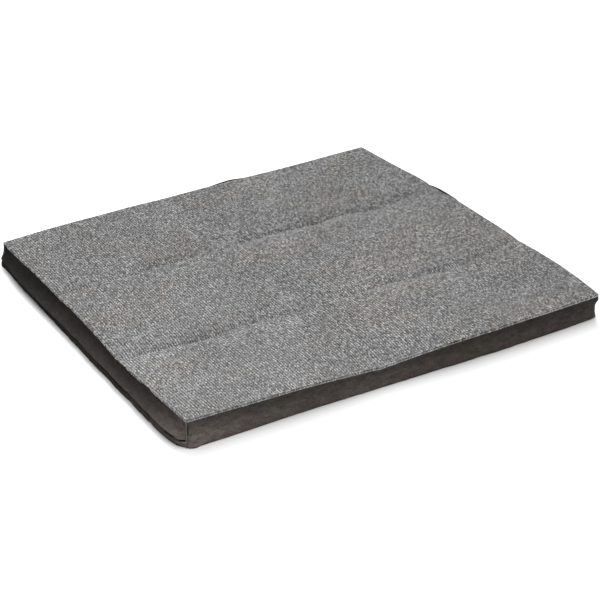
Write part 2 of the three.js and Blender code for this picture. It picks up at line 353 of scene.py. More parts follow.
def pillows(u, v):
    """The low swell of the felt over each pack."""
    rows, columns = [0, 0.33, 0.7, 1], [0, 0.44, 1]
    high = np.zeros(np.broadcast(u, v).shape)
    for v0, v1 in zip(rows, rows[1:]):
        for u0, u1 in zip(columns, columns[1:]):
            p, q = np.clip((u - u0) / (u1 - u0), 0, 1), np.clip((v - v0) / (v1 - v0), 0, 1)
            high += (1 - np.abs(2 * p - 1) ** 4) * (1 - np.abs(2 * q - 1) ** 4)
    return 0.5 * high


def edge_dip(u, v):
    """How far the felt sinks where its edge dips."""
    dip = np.zeros(np.broadcast(u, v).shape)
    sides = to_side(u, v)
    for side, place, half, depth in DIPS:
        away, share = sides[side]
        dip += depth * bell(share - place, half) * bell(away, DIP_REACH)
    return dip


def felt_height(u, v):
    """Height of the felt without its ribs and its rolled edge."""
    x, y = u * WIDTH, v * DEPTH
    soft = 0.35 * noise(x, y, 55, 1) + 0.12 * noise(x, y, 17, 2)
    corner = 0.8 * bell(x, 60) * bell((1 - v) * DEPTH, 60)
    high = HEIGHT - FELT_DROP - creases(u, v) + wrinkles(u, v) + pillows(u, v)
    return high + soft + corner - edge_dip(u, v)


# -------- meshes
def grid_faces(rows, columns, first=0, flip=False):
    """The faces of a grid of points that are numbered row by row from first."""
    i, j = np.meshgrid(np.arange(rows - 1), np.arange(columns - 1), indexing="ij")
    a = (first + i * columns + j).ravel()
    quads = np.stack([a, a + 1, a + columns + 1, a + columns], 1)
    return quads[:, ::-1] if flip else quads


def grid_rim(rows, columns):
    """The indices round a grid's edge, in the order its faces turn."""
    k = np.arange(rows * columns).reshape(rows, columns)
    return np.concatenate([k[0, :-1], k[:-1, -1], k[-1, :0:-1], k[:0:-1, 0]])


def bridge(ring_a, ring_b):
    """Faces between two closed rings of the same length."""
    return np.stack([np.roll(ring_a, -1), ring_a, ring_b, np.roll(ring_b, -1)], 1)


def bridges(count, order):
    """Faces between closed rings of count points each, whose numbers are given in order."""
    rings = [np.arange(count) + k * count for k in order]
    return np.concatenate([bridge(a, b) for a, b in zip(rings, rings[1:])]).tolist()


def sheet_solid(outer, inner):
    """A closed solid between two grids of points of the same shape."""
    rows, columns = outer.shape[:2]
    count = rows * columns
    rim = grid_rim(rows, columns)
    faces = [grid_faces(rows, columns), grid_faces(rows, columns, count, True), bridge(rim, rim + count)]
    return np.concatenate([outer.reshape(-1, 3), inner.reshape(-1, 3)]), np.concatenate(faces)


def tube(line, radius, sides, flat_axis, squash=1.0):
    """A closed tube along a line, its section squashed along flat_axis."""
    line = np.asarray(line, float)
    ahead = np.gradient(line, axis=0)
    ahead /= np.linalg.norm(ahead, axis=1)[:, None]
    across = np.cross(ahead, np.asarray(flat_axis, float))
    across /= np.linalg.norm(across, axis=1)[:, None]
    third = np.cross(across, ahead)
    turn = (np.arange(sides) * 2 * math.pi / sides)[None, :, None]
    radius = np.broadcast_to(np.asarray(radius, float), (len(line),))
    around = across[:, None] * np.cos(turn) + squash * third[:, None] * np.sin(turn)
    points = line[:, None] + around * radius[:, None, None]
    last = (len(line) - 1) * sides
    ends = [list(range(sides)), list(range(last + sides - 1, last - 1, -1))]
    return points.reshape(-1, 3), bridges(sides, range(len(line))) + ends


def volume_of(mesh):
    """Six times the mesh's volume, negative when its faces are turned inwards."""
    mesh.calc_loop_triangles()
    co = np.zeros(len(mesh.vertices) * 3)
    mesh.vertices.foreach_get("co", co)
    tri = np.zeros(len(mesh.loop_triangles) * 3, np.int32)
    mesh.loop_triangles.foreach_get("vertices", tri)
    p = co.reshape(-1, 3)[tri.reshape(-1, 3)]
    return float((p[:, 0] * np.cross(p[:, 1], p[:, 2])).sum())


def placed(name, data):
    """A new object in the scene."""
    obj = bpy.data.objects.new(name, data)
    bpy.context.scene.collection.objects.link(obj)
    return obj


def make(name, points, faces, body, slot, material, replaces, sharp=None):
    """A closed mesh from points in millimetres, with its faces turned outwards, in place of CAD nodes."""
    mesh = bpy.data.meshes.new(name)
    faces = faces.tolist() if isinstance(faces, np.ndarray) else faces
    mesh.from_pydata((np.asarray(points) * MM).tolist(), [], faces)
    mesh.validate()
    if volume_of(mesh) < 0:
        mesh.flip_normals()
    mesh.shade_smooth()
    if sharp is not None:
        mesh.set_sharp_from_angle(angle=math.radians(sharp))
    mesh.materials.append(material)
    obj = placed(name, mesh)
    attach(obj, body)
    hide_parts(*replaces)
    return obj


def joined(parts):
    """Several (points, faces) as one."""
    points, faces, first = [], [], 0
    for p, f in parts:
        points.append(p)
        faces += [[int(k) + first for k in face] for face in f]
        first += len(p)
    return np.concatenate(points), faces


# -------- materials
class Nodes:
    """A short way to wire a material."""

    def __init__(self, name):
        self.material = bpy.data.materials.new(name)
        self.material.use_nodes = True
        self.tree = self.material.node_tree
        self.shader = self.tree.nodes["Principled BSDF"]
        self.coordinates = self.tree.nodes.new("ShaderNodeTexCoord").outputs["Object"]

    def add(self, kind, settings=None, **inputs):
        """A new node. Its inputs are given by name, or by number as i0, i1 and so on."""
        node = self.tree.nodes.new("ShaderNode" + kind)
        for key, value in (settings or {}).items():
            setattr(node, key, value)
        for key, value in inputs.items():
            numbered = key[0] == "i" and key[1:].isdigit()
            self.put(node.inputs[int(key[1:]) if numbered else key], value)
        return node

    def put(self, socket, value):
        """Wire an output to the socket, or set the socket to a plain value."""
        if isinstance(value, bpy.types.NodeSocket):
            self.tree.links.new(value, socket)
        else:
            socket.default_value = value

    def scaled(self, x, y, z):
        """Object coordinates times x, y and z, so that 1 is a millimetre where they are 1000."""
        return self.add("Mapping", i0=self.coordinates, Scale=(x, y, z)).outputs[0]

    def grain(self, vector, detail, rough):
        node = self.add("TexNoise", Vector=vector, Scale=1.0, Detail=detail, Roughness=rough)
        return node.outputs[0]

    def math(self, kind, a, b=0.0, c=0.0):
        return self.add("Math", {"operation": kind}, i0=a, i1=b, i2=c).outputs[0]

    def ramp(self, value, stops):
        node = self.add("ValToRGB", i0=value)
        elements = node.color_ramp.elements
        while len(elements) < len(stops):
            elements.new(0.5)
        for element, (place, colour) in zip(elements, stops):
            element.position = place
            element.color = (*colour, 1) if hasattr(colour, "__len__") else (colour, colour, colour, 1)
        return node.outputs[0]

    def attribute(self, name):
        """A value that the mesh carries on its points."""
        return self.add("Attribute", {"attribute_name": name}).outputs["Fac"]

    def shade(self, colour, by, factor=1.0):
        """The colour multiplied by another one, or by a grey value."""
        node = self.add("Mix", {"data_type": "RGBA", "blend_type": "MULTIPLY"})
        self.put(node.inputs[0], factor)
        self.put(node.inputs[6], colour)
        self.put(node.inputs[7], (*by, 1) if hasattr(by, "__len__") else by)
        return node.outputs[2]

    def bump(self, height, distance, strength):
        node = self.add("Bump", Height=height, Distance=distance, Strength=strength)
        self.put(self.shader.inputs["Normal"], node.outputs[0])

    def finish(self, colour, roughness, metallic=0.0, sheen=0.0, specular=0.5):
        self.put(self.shader.inputs["Base Color"], colour)
        self.put(self.shader.inputs["Roughness"], roughness)
        self.shader.inputs["Metallic"].default_value = metallic
        self.shader.inputs["Sheen Weight"].default_value = sheen
        self.shader.inputs["Specular IOR Level"].default_value = specular
        return self.material


def felt_material():
    """Heathered felt: dark and light fibres in clumps, painted shade between the ribs, faintly stained, and
    painted light.
    """
    n = Nodes("ribbed felt")
    dashes = n.grain(n.scaled(900, 400, 300), 1.0, 0.5)
    fibres = n.grain(n.scaled(1200, 700, 900), 1.0, 0.5)
    clumps = n.grain(n.scaled(420, 300, 120), 3.0, 0.6)
    broad = n.grain(n.scaled(22, 18, 20), 2.0, 0.5)
    both = n.math("ADD", n.math("MULTIPLY", dashes, 0.4), n.math("MULTIPLY", fibres, 0.32))
    both = n.math("ADD", both, n.math("MULTIPLY", clumps, 0.28))
    fleck = n.attribute("fleck")
    both = n.math("MULTIPLY_ADD", n.math("SUBTRACT", both, 0.5), fleck, 0.5)
    colour = n.ramp(both, [(0.38, 0.03), (0.46, 0.079), (0.54, 0.137), (0.62, 0.28)])
    colour = n.shade(colour, n.ramp(broad, [(0.32, 0.88), (0.68, 1.09)]))
    stain = n.ramp(n.grain(n.scaled(14, 30, 20), 2.0, 0.5), [(0.5, 0.0), (0.64, 1.0)])
    colour = n.shade(colour, (1.03, 0.985, 0.94), stain)
    # Painted shade: darker down in the valleys between the ribs, where shade falls
    rib = n.attribute("rib")
    colour = n.shade(colour, n.ramp(rib, [(0.0, 0.25), (0.8, 1.0)]))
    # Painted light: paler near the front left corner and on the cut edges' shaded sides
    colour = n.shade(colour, n.attribute("pale"))
    fuzz = n.grain(n.scaled(2600, 1900, 2200), 3.0, 0.7)
    n.bump(n.math("ADD", n.math("MULTIPLY", fibres, 0.6), n.math("MULTIPLY", fuzz, 0.4)), 0.0006, 0.6)
    return n.finish(colour, 0.95, sheen=0.1, specular=0.2)


def cloth_material(name, flat):
    """Dark plain-woven cloth, with painted light and shade on upright pieces. flat is True for a level piece
    and False for an upright one.
    """
    n = Nodes(name)
    parts = n.add("SeparateXYZ", i0=n.coordinates).outputs
    one = parts[0] if flat else n.math("ADD", parts[0], parts[1])
    two = parts[1] if flat else parts[2]
    turns = 2 * math.pi / (0.55 * MM)
    warp = n.math("SINE", n.math("MULTIPLY", one, turns))
    weft = n.math("SINE", n.math("MULTIPLY", two, turns))
    weave = n.math("MULTIPLY", warp, weft)
    broad = n.grain(n.scaled(28, 28, 60), 3.0, 0.55)
    slub = n.grain(n.scaled(500, 500, 900), 3.0, 0.6)
    browns = [(0.3, (0.046, 0.039, 0.037)), (0.5, (0.053, 0.045, 0.041)), (0.7, (0.053, 0.047, 0.037))]
    colour = n.ramp(broad, browns)
    colour = n.shade(colour, n.ramp(slub, [(0.3, 0.7), (0.7, 1.3)]))
    rubbed = n.grain(n.scaled(120, 120, 320), 2.0, 0.5)
    colour = n.shade(colour, n.ramp(rubbed, [(0.3, 0.78), (0.7, 1.2)]))
    # Upright pieces read painted light and shade from their points
    if not flat:
        painted_wall_light_fac = n.attribute("wall_painted_light")
        colour = n.shade(colour, painted_wall_light_fac)
    n.bump(n.math("ADD", n.math("MULTIPLY", weave, 0.5), slub), 0.0002, 0.5)
    return n.finish(colour, n.ramp(slub, [(0.3, 0.7), (0.7, 0.85)]), sheen=0.02, specular=0.06)


def plain_material(name, dark, light, size, rough, metallic=0.0, bump=0.0002, sheen=0.0):
    """A mottled material: two colours over a grain of the given size in mm."""
    n = Nodes(name)
    per = 1000 / size
    grain = n.grain(n.scaled(per, per, per), 4.0, 0.6)
    colour = n.ramp(grain, [(0.3, dark), (0.7, light)])
    n.bump(grain, bump, 0.5)
    return n.finish(colour, n.ramp(grain, [(0.3, rough), (0.7, min(1, rough + 0.12))]), metallic, sheen)


FELT = felt_material()
WALL_CLOTH = cloth_material("cover cloth wall", False)
BASE_CLOTH = cloth_material("cover cloth base", True)
# Painted highlight: the seams' folded cloth is painted far lighter than the walls' cloth, for the light its
# ridge catches
SEAM_PAINTED_HIGHLIGHT = plain_material("folded seam", (0.12, 0.10, 0.09), (0.21, 0.178, 0.158), 0.8, 0.8)
ZIP_TAPE = plain_material("zip tape", (0.012, 0.011, 0.010), (0.025, 0.023, 0.021), 0.5, 0.8, sheen=0.2)
ZIP_NYLON = plain_material("zip nylon", (0.012, 0.011, 0.010), (0.02, 0.018, 0.017), 1.5, 0.35)
ZIP_METAL = plain_material("zip metal", (0.16, 0.16, 0.165), (0.24, 0.24, 0.245), 4, 0.28, 1.0, 0.00005)
HIDDEN = {
    "board": plain_material("board", (0.24, 0.16, 0.08), (0.34, 0.24, 0.13), 3, 0.85),
    "foam": plain_material("foam", (0.60, 0.57, 0.48), (0.78, 0.75, 0.67), 1.2, 0.95, bump=0.0006),
    "liner_cloth": plain_material("liner cloth", (0.40, 0.39, 0.37), (0.55, 0.54, 0.52), 1, 0.9),
    "pack_film": plain_material("pack film", (0.28, 0.42, 0.52), (0.38, 0.52, 0.62), 12, 0.3),
    "foil": plain_material("foil", (0.60, 0.61, 0.62), (0.74, 0.75, 0.76), 6, 0.25, 1.0, 0.0003),
}


# -------- the felt top
def felt_rows():
    """Shares from back to front, close together at the edges and where the long creases run."""
    rows = EDGE_ROWS + [DEPTH - d for d in EDGE_ROWS]
    place = EDGE_ROWS[-1]
    while place < DEPTH - EDGE_ROWS[-1]:
        rows.append(place)
        close = any(low <= place <= high for low, high in CREASE_BANDS)
        place += CREASE_STEP if close else ROW_STEP
    return np.unique(np.round(rows, 3)) / DEPTH


def felt_under(points, faces, rim_u, rim_v, ring):
    """Add the felt's underside to its top: rings that step in from the edge, a felt's thickness below."""
    count = len(points[0])
    for share in (0.999, 0.97, 0.86, 0.62, 0.3):
        u, v = 0.5 + (rim_u - 0.5) * share, 0.5 + (rim_v - 0.5) * share
        x, y = top_plan(u, v)
        points.append(np.stack([x, y, felt_height(u, v) - FELT_THICK], -1))
        new = np.arange(len(ring)) + count
        faces.append(bridge(ring, new))
        ring, count = new, count + len(ring)
    middle = np.array(0.5)
    points.append(np.array([[0, 0, float(felt_height(middle, middle)) - FELT_THICK]]))
    tip = np.full(len(ring), count)
    fan = np.stack([np.roll(ring, -1), ring, tip], 1)
    return np.concatenate(points), np.concatenate(faces).tolist() + fan.tolist()


def felt_top():
    """The ribbed felt, with the shares its material reads: rib for painted valley shade, fleck, and painted
    paleness.
    """
    ribs = round(WIDTH / RIB_PITCH)
    u = np.linspace(0, 1, ribs * RIB_COLUMNS + 1)
    uu, vv = np.meshgrid(u, felt_rows())
    x, y = top_plan(uu, vv)
    inside = np.minimum.reduce([d for d, _ in to_side(uu, vv).values()])
    roll = ROLL_R - np.sqrt(np.clip(ROLL_R**2 - np.clip(ROLL_R - inside, 0, None) ** 2, 0, None))
    rib = 1 - (1 - np.abs(np.sin(np.pi * uu * ribs)) ** 0.8) * np.clip(inside / RIB_FADE, 0, 1)
    fray = 0.08 * noise(uu * WIDTH * 3, vv * DEPTH, 2.2, 11)
    z = felt_height(uu, vv) - roll + (rib - 1) * RIB_HEIGHT + fray
    rows, columns = uu.shape
    ring = grid_rim(rows, columns)
    rim_u, rim_v = uu.ravel()[ring], vv.ravel()[ring]
    top = np.stack([x, y, z], -1).reshape(-1, 3)
    points, faces = felt_under([top], [grid_faces(rows, columns)], rim_u, rim_v, ring)
    obj = make("felt_top", points, faces, "pad", "felt", FELT, ["top_panel"])
    corner_gap = np.hypot(uu * WIDTH, (1 - vv) * DEPTH).ravel()
    # Painted light: a pool of light painted near the front left corner, and the cut edges' shaded side faces
    # painted paler
    pale = 1 + CORNER_PAINTED_LIGHT * bell(corner_gap, CORNER_PAINTED_LIGHT_REACH)
    cut_edge_painted_light = 1 + CUT_EDGE_PAINTED_LIGHT * ((rim_v > 0.999) | (rim_u < 0.001))
    add_attribute(obj, "rib", rib.ravel(), 1)
    add_attribute(obj, "fleck", 1 + FLECKIER * (1 - bell(corner_gap, FLECK_REACH)), 1)
    add_attribute(obj, "pale", np.concatenate([pale, cut_edge_painted_light]), 1)


def add_attribute(obj, name, values, rest):
    """A value on each point of a mesh: the first points take values, the others rest."""
    store = obj.data.attributes.new(name, "FLOAT", "POINT")
    full = np.full(len(obj.data.vertices), rest, np.float32)
    full[: len(values)] = values
    store.data.foreach_set("value", full)


# -------- the walls
def side_shares(side, s):
    """Shares u and v of the points at share s along a side."""
    fixed = np.zeros_like(s)
    return {"left": (fixed, s), "right": (fixed + 1, s), "front": (s, fixed + 1), "back": (s, fixed)}[side]


OUTWARD = {"left": (-1, 0), "right": (1, 0), "front": (0, -1), "back": (0, 1)}
WALL_LOW = BASE_THICK * 0.4


def side_length(side):
    """A side's length in mm."""
    return DEPTH if side in ("left", "right") else WIDTH


def wall_top(side, s, u, v):
    """The height of a wall's top edge, and how much of it is proud of the felt, from 0 to 1."""
    top, proud = felt_height(u, v) - WALL_UNDER, 0
    for proud_side, place, half, height in PROUD:
        if proud_side == side:
            proud = bell(s - place, half)
            top = top + height * proud
    return top, proud


def wall_folds(side, s, t, ends):
    """How far a wall's cloth stands out at its small folds. ends is the distance from the nearer corner."""
    length = side_length(side)
    folds = 0.55 * noise(s * length, t * 12, 24, 21) + 0.25 * noise(s * length, t * 9, 8, 22)
    puckers = 0.22 * noise(s * length, t * 2, 5, 23) * (t**4 + (1 - t) ** 4)
    tucks = 0.35 * np.sin(t * 19 + 1.5 * noise(s * length, t, 9, 24)) * bell(ends - 5, 8) * 4 * t * (1 - t)
    if side == "front":  # more of them by the front left seam
        tucks = tucks + 0.5 * np.sin(t * 24 + 1) * bell(s * length - 7, 9) * 2 * (1 - t)
    return (folds + puckers + tucks) * (1 - bell(ends, 1.5))


def wall_surface(side, s, t, inset=0.0):
    """Points of a side's wall at share s along it and share t of its height."""
    u, v = side_shares(side, s)
    x0, y0 = base_plan(u, v)
    x1, y1 = top_plan(u, v)
    top, proud = wall_top(side, s, u, v)
    length = side_length(side)
    ends = np.minimum(s, 1 - s) * length
    deep = PINCH_LEFT if side == "left" else PINCH
    pinch = -deep * (4 * t * (1 - t)) ** 0.8 * (1 - 0.3 * bell(ends, 10))
    seam = -0.15 * bell(t - 1, 0.05) - 0.25 * bell(t, 0.05)
    move = pinch + seam + wall_folds(side, s, t, ends) - inset + PROUD_OUT * proud * t**3
    if side in ("front", "right"):  # the front right corner's seam swells under the felt
        move = move + CORNER_SWELL * bell(t - 0.76, 0.13) * bell((1 - s) * length, 7)
    ease = eased(t)
    out = np.array(OUTWARD[side], float)
    # At a corner the two walls that meet there move along its diagonal, so that they stay joined
    across = np.sign(s - 0.5) * bell(ends, 4)
    turn = np.array([abs(out[1]), -abs(out[0])])
    x = x0 + (x1 - x0) * ease + (out[0] + across * turn[0]) * move
    y = y0 + (y1 - y0) * ease + (out[1] + across * turn[1]) * move
    return np.stack([x, y, WALL_LOW + (top - WALL_LOW) * t], -1)


def side_columns(side):
    """Shares along a side, close together at its corners."""
    length = side_length(side)
    middle = np.linspace(6 / length, 1 - 6 / length, round(length / WALL_STEP))
    ends = np.array([0, 0.8, 1.6, 2.6, 3.6, 4.8]) / length
    return np.unique(np.concatenate([ends, middle, 1 - ends]))


def wall_painted_light(side, s, z):
    """Painted light on a wall's cloth at share s along it and height z: lighter low down and by the front
    left.
    """
    # Painted highlight along the top edge of the strip under the slot
    edge = 1 + (0.9 * bell(z - SLOT_LOW, 0.5) if side == "left" else 0)  # the strip's top edge
    return along(WALL_PAINTED_LIGHT[side], s) * along(WALL_PAINTED_LIGHT_UP, np.clip(z / HEIGHT, 0, 1)) * edge


def wall(name, side, heights, replaced, curve):
    """A wall from curve, which gives the points at shares s and t for an inset."""
    ss, tt = np.meshgrid(side_columns(side), heights)
    outer = curve(ss, tt, 0.0)
    points, faces = sheet_solid(outer, curve(ss, tt, CLOTH_THICK))
    obj = make(name, points, faces, "pad", "cover_cloth", WALL_CLOTH, [replaced])
    # The painted light and shade that the cloth reads, on both faces of the wall
    add_attribute(obj, "wall_painted_light", np.tile(wall_painted_light(side, ss, outer[..., 2]).ravel(), 2), 0.5)
    return obj


def border(side):
    """One of the three walls that have no zip."""
    heights = np.concatenate([[0, 0.02, 0.05], np.linspace(0.1, 0.9, 15), [0.95, 0.98, 1]])
    obj = wall(f"{side}_wall", side, heights, f"{side}_border", lambda s, t, i: wall_surface(side, s, t, i))


def slot_share(height):
    """The share of the left wall's height at a height in mm."""
    return (height - WALL_LOW) / (HEIGHT - WALL_UNDER - WALL_LOW)


def from_corners(s, reach):
    """Rises from 0 at the left side's corners to 1 at reach mm from them."""
    return np.clip(np.minimum(s, 1 - s) * DEPTH / reach, 0, 1)


def lap_curve(s, t, inset):
    """The left wall above the slot. Its lip stands out and laps over the zip."""
    low = slot_share(SLOT_HIGH)
    share = low + (1 - low) * t
    lip = LAP_TURNED * np.clip(1 - t / 0.05, 0, 1) ** 2
    thick = inset + (LAP_TURNED - lip if inset else lip)
    p = wall_surface("left", s, share, thick)
    lip_x = wall_surface("left", s, np.full_like(t, slot_share(SLOT_LOW)))[..., 0] - along(LAP_OUT, s)
    at_lip = wall_surface("left", s, np.full_like(t, low))[..., 0]
    p[..., 0] += (lip_x - at_lip) * from_corners(s, 7) * (1 - t) ** 1.4
    p[..., 0] += LAP_BELLY * np.sin(np.pi * t) * from_corners(s, 30)
    p[..., 2] = np.maximum(p[..., 2], SLOT_HIGH + 0.05)
    p[..., 2] -= LAP_DROOP * bell((1 - s) * DEPTH, 9) * (1 - t) ** 2
    hem_line = bell(t - 0.3, 0.03) * 0.12
    p[..., 0] += hem_line * from_corners(s, 12)
    return p


def strip_curve(s, t, inset):
    """The strip of the left wall under the slot, its top edge turned in."""
    share = slot_share(SLOT_LOW) * t
    turned = STRIP_TURNED * np.clip((t - 0.8) / 0.2, 0, 1) ** 2
    thick = inset + (STRIP_TURNED - turned if inset else turned)
    p = wall_surface("left", s, share, thick)
    p[..., 2] = np.minimum(p[..., 2], SLOT_LOW - 0.05)
    return p


def left_walls():
    """The lap, the strip below it and the zip's tapes."""
    heights = np.concatenate([[0, 0.012, 0.03, 0.05, 0.1], np.linspace(0.16, 0.9, 13), [0.95, 1]])
    lap = wall("left_wall_lap", "left", heights, "left_border_upper", lap_curve)
    low_heights = np.concatenate([np.linspace(0, 0.8, 7), [0.87, 0.93, 1]])
    strip = wall("left_wall_strip", "left", low_heights, "left_border_lower", strip_curve)
    tapes = [zip_tape("zip_tape_upper", True), zip_tape("zip_tape_lower", False)]


def corner_seam(name, side, s):
    """The sewn corner: a thin ridge of folded cloth from the base to the felt."""
    t = np.linspace(0, 1, 41)
    line = wall_surface(side, np.full_like(t, s), t)
    out = np.sign(line[0, :2])
    line[:, :2] += out * SEAM_OUT
    radius = SEAM_R + 0.1 * np.cos(t * HEIGHT * 2 * math.pi / STITCH_PITCH)
    points, faces = tube(line, radius, 8, flat_axis=(out[0], out[1], 0))
    make(name + "_ridge", points, faces, "pad", "cover_cloth", SEAM_PAINTED_HIGHLIGHT, [name])


# -------- the base
def base_sheet():
    """The base cloth: rings of points from the middle of its underside, round its edge, to its upper side."""
    ring = np.linspace(0, 1, BASE_RING, endpoint=False)
    zero, one = np.zeros(BASE_RING), np.ones(BASE_RING)
    u = np.concatenate([ring, one, 1 - ring, zero])
    v = np.concatenate([one, 1 - ring, zero, ring])
    below = [(share, 0.0) for share in (0.15, 0.3, 0.45, 0.6, 0.75, 0.88, 0.95, 0.985, 0.992)]
    edge = [(0.9965, 0.12), (0.998, 0.3), (0.9975, 0.5)]
    above = [(share, BASE_THICK) for share in (0.992, 0.95, 0.75, 0.45, 0.15)]
    points = []
    for share, height in below + edge + above:
        if share < BASE_RIM:
            x, y = base_plan(0.5 + (u - 0.5) * share, 0.5 + (v - 0.5) * share)
        else:
            x, y = base_plan(u, v)
            x, y = x * share, y * share
        lift = BASE_LIFT * (1 + noise(x, y, 40, 51)) * np.clip((0.985 - share) * 12, 0, 1)
        points.append(np.stack([x, y, height + lift], -1))
    n, count = len(u), len(u) * len(points)
    faces = bridges(n, range(len(points)))
    points.append(np.array([[0, 0, BASE_LIFT], [0, 0, BASE_THICK + BASE_LIFT]]))
    first, last = np.arange(n), np.arange(count - n, count)
    faces += np.stack([first, np.roll(first, -1), np.full(n, count)], 1).tolist()
    faces += np.stack([np.roll(last, -1), last, np.full(n, count + 1)], 1).tolist()
    obj = make("base_cloth", np.concatenate(points), faces, "pad", "cover_cloth", BASE_CLOTH, ["base_panel"])


# -------- the zip
def zip_tape(name, upper):
    """A woven tape: upright beside the teeth, then out to the inside of the wall."""
    low, high = node_box(name)
    s = np.linspace((HALF_Y - high[1]) / DEPTH, (HALF_Y - low[1]) / DEPTH, 150)
    ss, tt = np.meshgrid(s, np.linspace(0, 1, 14))
    z = low[2] + (high[2] - low[2]) * tt
    wall_x = wall_surface("left", ss, np.clip(slot_share(z), 0, 1))[..., 0] + CLOTH_THICK + TAPE_GAP
    straight = TAPE_STRAIGHT * (1 if upper else 0.6)
    away = (z - low[2] - straight) if upper else (high[2] - straight - z)
    room = (high[2] - low[2]) - straight
    ease = eased(np.clip(away / room, 0, 1))
    x = (low[0] + high[0]) / 2 * (1 - ease) + wall_x * ease
    x = x + 0.12 * noise(ss * DEPTH, tt * 5, 12, 61 + upper) * np.clip(away, 0, 1)
    y = HALF_Y - ss * DEPTH
    outer = np.stack([x - TAPE_THICK / 2, y, z], -1)
    points, faces = sheet_solid(outer, outer + np.array([TAPE_THICK, 0, 0]))
    return make(name + "_ribbon", points, faces, "pad", "zip_tape", ZIP_TAPE, [name])


def zip_coil(name):
    """A row of nylon teeth: a flattened helix of stiff thread along the tape's edge."""
    low, high = node_box(name)
    centre, half = (low + high) / 2, (high - low) / 2
    turns = round((high[1] - low[1]) / COIL_PITCH)
    angle = np.linspace(0, turns * 2 * math.pi, turns * 10 + 1)
    x = centre[0] + (half[0] - COIL_WIRE) * np.cos(angle)
    z = centre[2] + (half[2] - COIL_WIRE) * np.sin(angle)
    y = np.linspace(low[1] + COIL_WIRE, high[1] - COIL_WIRE, len(angle))
    points, faces = tube(np.stack([x, y, z], -1), COIL_WIRE, 5, flat_axis=(0, 1, 0))
    make(name + "_teeth", points, faces, "pad", "zip_nylon", ZIP_NYLON, [name])


def plate(outline, x0, x1, bevel):
    """A flat plate with bevelled edges. outline is points (y, z), turned one way; x is its depth."""
    outline = np.asarray(outline, float)
    middle = outline.mean(0)
    reach = np.abs(outline - middle).max(0)
    inner = middle + (outline - middle) * (1 - bevel / reach)
    side = 1 if x1 > x0 else -1
    rings = [(inner, x0), (outline, x0 + side * bevel), (outline, x1 - side * bevel), (inner, x1)]
    n = len(outline)
    points = np.concatenate([np.column_stack([np.full(n, x), ring]) for ring, x in rings])
    ends = [list(range(n)), list(range(4 * n - 1, 3 * n - 1, -1))]
    return points, bridges(n, range(4)) + ends


def slider_outline(low, high, length):
    """The slider's face: full width over the open teeth, drawn in where they have closed."""
    middle, half = (low + high) / 2, (high - low) / 2
    k = np.linspace(0, 2 * math.pi, 56, endpoint=False)
    y, z = squared(np.cos(k), 0.6), squared(np.sin(k), 0.5)
    waist = 1 - 0.16 * (0.5 - 0.5 * y) - 0.1 * bell(y, 0.35)
    return np.column_stack([y * length / 2, middle + z * half * waist])


def slider():
    """The slider: two plates, the lips between them, the post that parts the teeth, and the pull's bridge."""
    low, high = node_box("zip_slider")
    middle, length = (low + high) / 2, high[1] - low[1]
    face = slider_outline(low[2], high[2], length)
    face[:, 0] += middle[1]
    outer, inner = np.array(SLIDER_OUTER) - HALF_X, np.array(SLIDER_INNER) - HALF_X
    parts = [plate(face, *outer, 0.22), plate(face, *inner, 0.22)]
    for z0, z1 in ((low[2] + 0.25, low[2] + 0.85), (high[2] - 0.85, high[2] - 0.25)):
        lip = np.array([[-0.32, z0], [0.32, z0], [0.32, z1], [-0.32, z1]]) * [length, 1] + [middle[1], 0]
        parts.append(plate(lip, outer[1] - 0.1, outer[1] + SLIDER_FLANGE, 0.1))
        parts.append(plate(lip, inner[0] - SLIDER_FLANGE, inner[0] + 0.1, 0.1))
    k = np.linspace(0, 2 * math.pi, 24, endpoint=False)
    post = np.column_stack([middle[1] + 3.3 + 0.75 * np.cos(k), middle[2] + 0.42 * np.sin(k)])
    parts.append(plate(post, outer[1] - 0.2, inner[0] + 0.2, 0.05))
    # The bridge that holds the pull: an arch of flat bar over the outer plate
    bend = np.linspace(0, math.pi, 21)
    arch = np.column_stack([
        outer[0] + 0.15 - (BRIDGE_HIGH - 0.35) * np.sin(bend) ** 0.7,
        middle[1] - BRIDGE_HALF * np.cos(bend),
        np.full_like(bend, middle[2]),
    ])
    parts.append(tube(arch, 0.3, 10, squash=2.0, flat_axis=(0, 0, 1)))
    make("zip_slider_cast", *joined(parts), "slider", "zip_metal", ZIP_METAL, ["zip_slider"], sharp=35)


